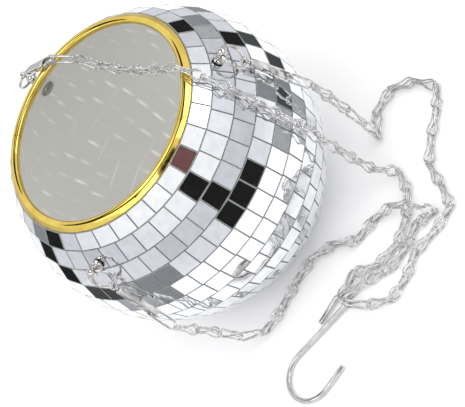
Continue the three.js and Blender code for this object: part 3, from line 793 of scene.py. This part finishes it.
def shell_look():
    """Warm grey plastic, with light painted along some of the gaps between the tiles outside."""
    made, tree, shader = material("translucent_grey_plastic", roughness=0.32)
    place = node(tree, "ShaderNodeSeparateXYZ",
                 {0: node(tree, "ShaderNodeTexCoord").outputs["Object"]}).outputs
    height = maths(tree, "SUBTRACT", place[2], CENTRE_HEIGHT)
    radius = maths(tree, "SQRT", maths(tree, "ADD", maths(tree, "MULTIPLY", place[0], place[0]),
                                       maths(tree, "MULTIPLY", place[1], place[1])))
    polar = maths(tree, "ARCTAN2", radius, height)
    rows = maths(tree, "DIVIDE", maths(tree, "SUBTRACT", polar, FIRST_ROW_POLAR), ROW_PITCH)
    row = maths(tree, "FLOOR", rows)
    down = maths(tree, "SUBTRACT", rows, row)
    middle = maths(tree, "MULTIPLY_ADD", maths(tree, "ADD", row, 0.5), ROW_PITCH, FIRST_ROW_POLAR)
    share = maths(tree, "SINE", middle)
    count = maths(tree, "ROUND", maths(tree, "MULTIPLY", share, TILES_ROUND_EQUATOR))
    turns = maths(tree, "DIVIDE", maths(tree, "ARCTAN2", place[1], place[0]), 2 * math.pi)
    stagger = maths(tree, "MULTIPLY", row, ROW_STAGGER)
    across = maths(tree, "ADD", maths(tree, "MULTIPLY", turns, count), stagger)
    seam = maths(tree, "ROUND", across)
    aside = maths(tree, "ABSOLUTE", maths(tree, "SUBTRACT", across, seam))
    cell = node(tree, "ShaderNodeCombineXYZ", {0: row, 1: seam}).outputs[0]
    luck = node(tree, "ShaderNodeTexWhiteNoise", {"Vector": cell}).outputs["Value"]
    lengthwise = maths(tree, "MULTIPLY", spread(tree, down, 0, 1, 0.02, 0.3),
                       spread(tree, down, 1, 0, 0.45, 0.95))
    dash = maths(tree, "MULTIPLY", spread(tree, aside, 1, 0, 0.02, 0.10), lengthwise)
    dash = maths(tree, "MULTIPLY", dash, spread(tree, luck, 0.1, 1, 0.3, 1))
    depth = spread(tree, polar, 0.3, 1, math.radians(55), math.radians(100))
    dash = maths(tree, "MULTIPLY", dash, depth)
    edge = spread(tree, maths(tree, "ABSOLUTE", maths(tree, "SUBTRACT", down, 0.5)), 0, 0.35, 0.42, 0.5)
    edge = maths(tree, "MULTIPLY", edge, spread(tree, noise(tree, 30, 2), 0, 1, 0.55, 0.68))
    glow = maths(tree, "MAXIMUM", dash, edge)
    tint(tree, shader, glow, (0.63, 0.63, 0.615), (0.88, 0.88, 0.86))
    # Painted light: the whole shell glows faintly, and glows more along the streaks of light painted at
    # the gaps.
    shader.inputs["Emission Color"].default_value = (1.0, 0.99, 0.95, 1)
    tree.links.new(spread(tree, glow, 0.09, 0.2, 0, 1), shader.inputs["Emission Strength"])
    tree.links.new(spread(tree, noise(tree, 200, 4), 0.30, 0.42), shader.inputs["Roughness"])
    add_bump(tree, shader, noise(tree, 160, 2), 0.00003, 0.1)
    return made


# The studio.

def card(name, place, facing, width, height, look):
    """A card that the mirrors reflect and the camera doesn't see."""
    bm = bmesh.new()
    corners = [(-width / 2, -height / 2), (width / 2, -height / 2),
               (width / 2, height / 2), (-width / 2, height / 2)]
    bm.faces.new([bm.verts.new((x, y, 0)) for x, y in corners])
    item = bpy.data.objects.new(name, mesh_from(bm, name))
    item.data.materials.append(look)
    item.matrix_world = Matrix.Translation(place) @ facing.to_track_quat("Z", "Y").to_matrix().to_4x4()
    item.visible_camera = False
    item.visible_diffuse = False
    item.visible_shadow = False
    bpy.context.scene.collection.objects.link(item)


# What single tiles reflect: each tile's row, its place in the row counted from the front, and a look.
# A fraction sets the card a little to one side of the tile's middle.
FLAGS = [
    (0, 6, "black"), (0, -9, "black"), (0, -10, "grey"), (0, -1, "brown"),
    (1, -1, "black"), (1, -10, "black"), (1, 7, "pale"), (1, 8, "grey"),
    (2, -1, "black"), (2, 7, "black"), (2, -10, "black"), (2, 10, "grey"),
    (3, -2, "black"), (3, -1, "black"), (3, 0.2, "black"), (3, 4, "grey"), (3, 7, "dark"),
    (3, -10, "dark"), (3, -9, "dark"), (3, -8, "pale"), (3, -7, "grey"), (3, -6, "grey"),
    (4, 5, "dark"), (4, 6, "grey"), (4, 7, "dark"), (4, -6, "grey"),
    (4, -7.96, "pale"), (4, -6.98, "pale"), (4, 3.04, "pale"), (4, 4.02, "pale"), (5, 4.95, "pale"),
]
# A card's distance from its tile, by row, and its size: a margin and a share of the distance.
FLAG_DISTANCE = [0.30, 0.22, 0.16, 0.13, 0.085, 0.05]
FLAG_MARGIN = 0.013
FLAG_SPREAD = 0.12


def make_flag(row, tile, look, camera_place):
    """A card where one tile sends the view, so that tile alone shows it."""
    polar = FIRST_ROW_POLAR + (row + 0.5) * ROW_PITCH
    _, step, start = row_layout(row)
    azimuth = start + (tile + 0.5) * step
    out = Vector((math.sin(polar) * math.cos(azimuth), math.sin(polar) * math.sin(azimuth),
                  math.cos(polar)))
    place = CENTRE + out * BALL_RADIUS
    view = (camera_place - place).normalized()
    bounce = out * (2 * out.dot(view)) - view
    distance = FLAG_DISTANCE[row]
    size = FLAG_MARGIN + FLAG_SPREAD * distance
    card(f"flag_{row}_{tile}", place + bounce * distance, -bounce, size, size, look)


def flat_look(name, colour, strength=0.0):
    made, tree, shader = material(name, base_color=colour, roughness=1.0)
    shader.inputs["Emission Color"].default_value = (*colour, 1)
    shader.inputs["Emission Strength"].default_value = strength
    return made


FLOOR_HALF = 3.0
# Distances from the ball's axis over which the floor's painted shade turns it grey, and over which its
# painted glow ends.
FLOOR_PAINTED_SHADE_SPAN = (0.235, 0.32)
FLOOR_PAINTED_GLOW_END = (0.22, 0.30)


def make_floor():
    """A white sweep with painted shade that turns it grey well away from the ball, and a painted glow
    near the ball that lightens the ball's shadow on it.
    """
    made, tree, shader = material("floor_white", roughness=0.6)
    place = node(tree, "ShaderNodeTexCoord").outputs["Object"]
    reach = node(tree, "ShaderNodeVectorMath", {0: place}, operation="LENGTH").outputs["Value"]
    speck = maths(tree, "MULTIPLY", spread(tree, noise(tree, 4, 3), 0, 1), 0.08)
    # Painted shade: the floor's colour darkens to grey with distance from the ball.
    painted_falloff = maths(tree, "ADD", spread(tree, reach, 0, 0.92, *FLOOR_PAINTED_SHADE_SPAN), speck)
    tint(tree, shader, painted_falloff, (0.85, 0.85, 0.85), (0.50, 0.50, 0.53))
    # Painted light: the floor glows near the ball, which lightens the ball's shadow there.
    shader.inputs["Emission Color"].default_value = (1, 1, 1, 1)
    tree.links.new(spread(tree, reach, 0.08, 0, *FLOOR_PAINTED_GLOW_END), shader.inputs["Emission Strength"])
    bm = bmesh.new()
    bmesh.ops.create_grid(bm, x_segments=1, y_segments=1, size=FLOOR_HALF)
    item = bpy.data.objects.new("floor", mesh_from(bm, "floor"))
    item.data.materials.append(made)
    bpy.context.scene.collection.objects.link(item)


def area_light(name, place, target, size, power):
    data = bpy.data.lights.new(name, "AREA")
    data.size = size
    data.energy = power
    item = bpy.data.objects.new(name, data)
    item.location = place
    item.rotation_euler = (Vector(target) - Vector(place)).to_track_quat("-Z", "Y").to_euler()
    bpy.context.scene.collection.objects.link(item)


# The room's tones by the sine of the elevation, between the lowest and the highest.
WALL_TONES = [(0.12, (0.68, 0.68, 0.73)), (0.24, (0.92, 0.92, 0.95)), (0.36, (1.05, 1.05, 1.05))]


def make_world():
    """A pale room: grey-violet walls low down, white above."""
    world = bpy.data.worlds.new("studio")
    world.use_nodes = True
    tree = world.node_tree
    place = node(tree, "ShaderNodeTexCoord").outputs["Generated"]
    rise = node(tree, "ShaderNodeSeparateXYZ", {0: place}).outputs[2]
    ramp = node(tree, "ShaderNodeValToRGB", {0: rise})
    stops = ramp.color_ramp.elements
    stops[0].color = (0.66, 0.66, 0.70, 1)
    stops[1].color = (1.0, 1.0, 1.0, 1)
    for position, colour in WALL_TONES:
        stops.new(position).color = (*colour, 1)
    background = tree.nodes["Background"]
    tree.links.new(ramp.outputs[0], background.inputs[0])
    background.inputs[1].default_value = 1.0
    bpy.context.scene.world = world


# Dark beams in a square overhead, which draw dark lines along the bead and the wire.
BEAM_REACH = 0.29
BEAM_HEIGHT = 0.55
BEAM_WIDTH = 0.18
LIGHT_TARGET = (0, 0, 0.05)


def make_studio():
    make_floor()
    make_world()
    cards = {
        "black": flat_look("card_black", (0.003, 0.003, 0.003)),
        "beam": flat_look("card_beam", (0.015, 0.013, 0.01)),
        "dark": flat_look("card_dark", (0.05, 0.05, 0.05)),
        "grey": flat_look("card_grey", (0.22, 0.22, 0.23)),
        "pale": flat_look("card_pale", (0.36, 0.36, 0.37)),
        "light": flat_look("card_light", (0.52, 0.53, 0.55)),
        "brown": flat_look("card_brown", (0.20, 0.085, 0.075)),
    }
    camera_place = bpy.context.scene.camera.matrix_world.translation
    for row, tile, shade in FLAGS:
        make_flag(row, tile, cards[shade], camera_place)
    card("boom", (0, -0.27, 0.32), Vector((0, 1, -1)), 0.13, 0.045, cards["black"])
    down = Vector((0, 0, -1))
    for side in (-1, 1):
        place = (side * BEAM_REACH, 0, BEAM_HEIGHT)
        card(f"beam_x_{side}", place, down, BEAM_WIDTH, 0.40, cards["beam"])
        place = (0, side * BEAM_REACH, BEAM_HEIGHT)
        card(f"beam_y_{side}", place, down, 0.76, BEAM_WIDTH, cards["beam"])
        place = (side * 0.25, 0.21, 0.004)
        card(f"table_edge_{side}", place, Vector((0, 0, 1)), 0.17, 0.22, cards["light"])
    area_light("key", (-0.5, -0.3, 1.3), LIGHT_TARGET, 1.5, 9)
    area_light("fill", (0.8, -0.6, 0.9), LIGHT_TARGET, 0.9, 4)
    bpy.context.scene.view_settings.view_transform = "Standard"


make_camera()
looks = {
    "mirror": mirror_look(),
    "ground_edge": ground_edge_look(),
    "shell": shell_look(),
    "gold": gold_look(),
    "nickel": plated_look("polished_nickel", (0.52, 0.51, 0.50), (0.68, 0.67, 0.65), 0.04, 0.09, 250),
    "screw": plated_look("screw_zinc", (0.25, 0.25, 0.25), (0.42, 0.42, 0.41), 0.25, 0.4, 300),
    "clasp": plated_look("plated_casting", (0.60, 0.60, 0.58), (0.78, 0.78, 0.75), 0.08, 0.18, 400),
    "chain": plated_look("bright_wire", (0.52, 0.52, 0.52), (0.82, 0.82, 0.82), 0.05, 0.12, 500),
}
hook_piece = make_hook(looks["nickel"])
for hanger_id in "abc":
    hang_chain(hanger_id, looks["chain"])
make_shell(looks["shell"])
for tile_row in range(ROW_COUNT):
    make_tile_row(tile_row, looks["mirror"], looks["ground_edge"])
make_bead(looks["gold"])
for hanger_id in "abc":
    make_hanger(hanger_id, looks)
make_studio()
